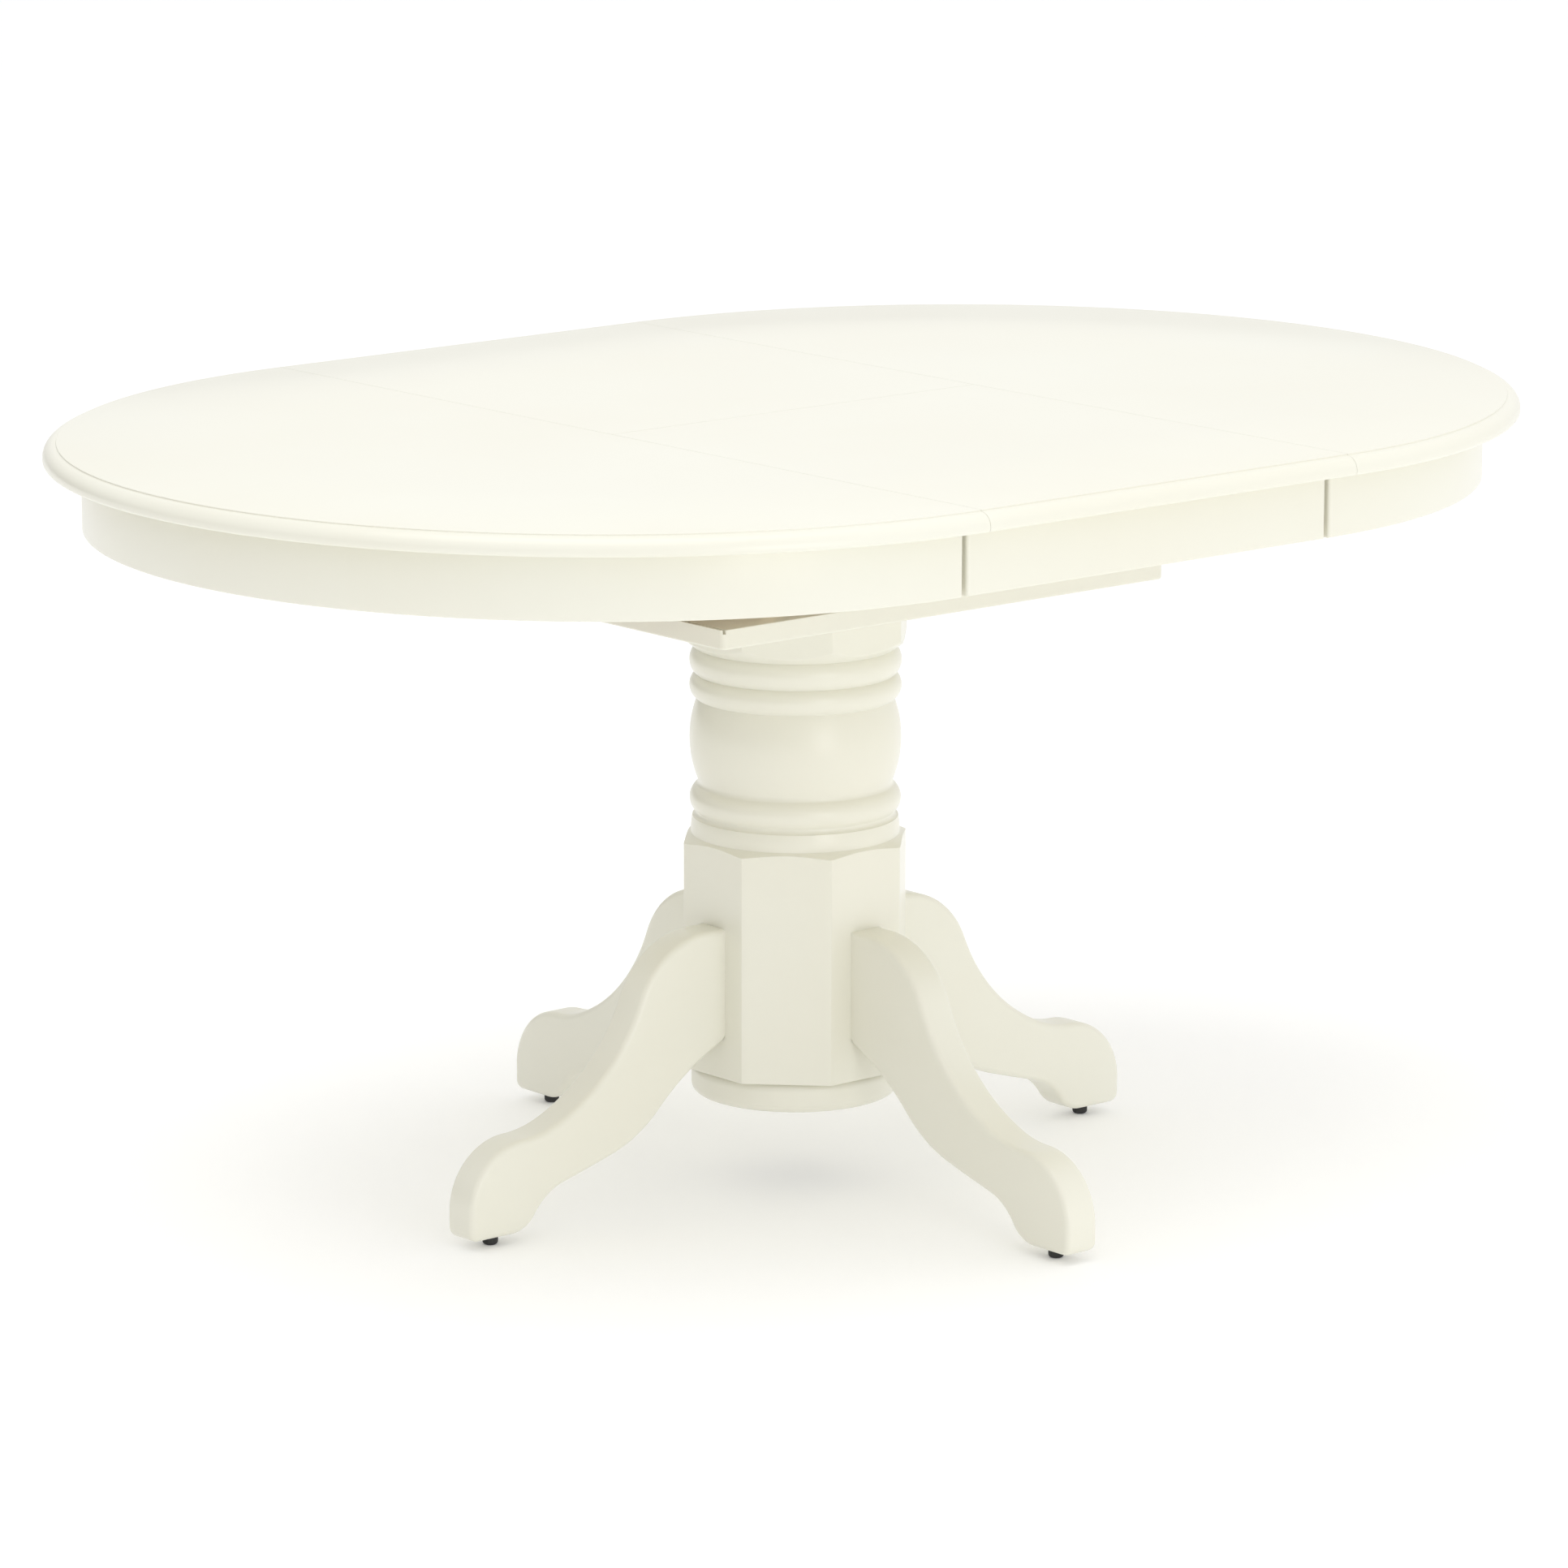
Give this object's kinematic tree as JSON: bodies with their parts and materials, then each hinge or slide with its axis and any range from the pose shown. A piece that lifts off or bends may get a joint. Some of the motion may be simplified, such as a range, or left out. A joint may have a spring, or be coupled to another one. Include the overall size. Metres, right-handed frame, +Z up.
{
  "type": "extending pedestal table",
  "caption": "Oval dining table on a turned octagonal pedestal with S-curved legs; its top halves slide apart and its centre leaf folds up in two halves.",
  "frame": {"origin": "on the floor under the middle of the column", "axes": "+X along the table's long axis, +Y across it, +Z up"},
  "size_m": [1.5238, 1.0668, 0.762],
  "materials": {
    "paint_linen": "satin painted hardwood",
    "bare_wood": "planed, sealed",
    "zinc_steel": "zinc plated",
    "brass_plate": "plated",
    "black_plastic": "moulded",
    "nylon": "moulded"
  },
  "bodies": {
    "base": {"column": "paint_linen", "base_disc": "paint_linen", "disc_screws": "zinc_steel", "leg_right": "paint_linen", "leg_back": "paint_linen", "leg_left": "paint_linen", "leg_front": "paint_linen", "leg_bolts": "zinc_steel", "leg_washers": "zinc_steel", "leg_nuts": "zinc_steel", "glides": "black_plastic", "mounting_board": "paint_linen", "column_screws": "zinc_steel", "riser_left": "bare_wood", "riser_right": "bare_wood", "riser_screws": "zinc_steel", "fixed_rail_front": "bare_wood", "fixed_rail_back": "bare_wood", "rail_screws": "zinc_steel", "pinion_stud": "zinc_steel", "pinion_clip": "zinc_steel"},
    "equaliser_pinion": {"pinion": "nylon"},
    "top_right": {"top_half_right": "paint_linen", "apron_right": "paint_linen", "apron_blocks_right": "bare_wood", "moving_rails_right": "bare_wood", "top_screws_right": "zinc_steel", "cross_tie_right": "bare_wood", "rack_right": "nylon", "rack_screw_right": "zinc_steel"},
    "top_left": {"top_half_left": "paint_linen", "apron_left": "paint_linen", "apron_blocks_left": "bare_wood", "moving_rails_left": "bare_wood", "top_screws_left": "zinc_steel", "cross_tie_left": "bare_wood", "rack_left": "nylon", "rack_screw_left": "zinc_steel"},
    "leaf_half_front": {"leaf_front": "paint_linen", "leaf_hinges_front": "brass_plate", "hinge_leaf_wings_front": "brass_plate", "hinge_pins_front": "brass_plate"},
    "leaf_apron_flap_front": {"leaf_apron_front": "paint_linen", "hinge_apron_wings_front": "brass_plate"},
    "leaf_half_back": {"leaf_back": "paint_linen", "leaf_hinges_back": "brass_plate", "hinge_leaf_wings_back": "brass_plate", "hinge_pins_back": "brass_plate"},
    "leaf_apron_flap_back": {"leaf_apron_back": "paint_linen", "hinge_apron_wings_back": "brass_plate"}
  },
  "joints": [
    {"name": "top_right_slide", "type": "slide", "parent": "base", "child": "top_right", "axis": [1, 0, 0], "range_m": [0, 0.05]},
    {"name": "top_left_slide", "type": "slide", "parent": "base", "child": "top_left", "axis": [-1, 0, 0], "range_m": [0, 0.05]},
    {"name": "pinion_spin", "type": "hinge", "parent": "base", "child": "equaliser_pinion", "pos_m": [0, 0, 0.6225], "axis": [0, 0, 1], "range_deg": [-135, 0]},
    {"name": "leaf_back_fold", "type": "hinge", "parent": "base", "child": "leaf_half_back", "pos_m": [0, 0.0002, 0.762], "axis": [1, 0, 0], "range_deg": [0, 90]},
    {"name": "leaf_front_fold", "type": "hinge", "parent": "base", "child": "leaf_half_front", "pos_m": [0, -0.0002, 0.762], "axis": [-1, 0, 0], "range_deg": [0, 90]},
    {"name": "apron_back_fold", "type": "hinge", "parent": "leaf_half_back", "child": "leaf_apron_flap_back", "pos_m": [0, 0.4748, 0.7394], "axis": [-1, 0, 0], "range_deg": [0, 90]},
    {"name": "apron_front_fold", "type": "hinge", "parent": "leaf_half_front", "child": "leaf_apron_flap_front", "pos_m": [0, -0.4748, 0.7394], "axis": [1, 0, 0], "range_deg": [0, 90]}
  ],
  "couplings": [
    {"joint": "top_left_slide", "follows": "top_right_slide", "ratio": 1},
    {"joint": "pinion_spin", "follows": "top_right_slide", "rad_per_m": -44.444}
  ]
}
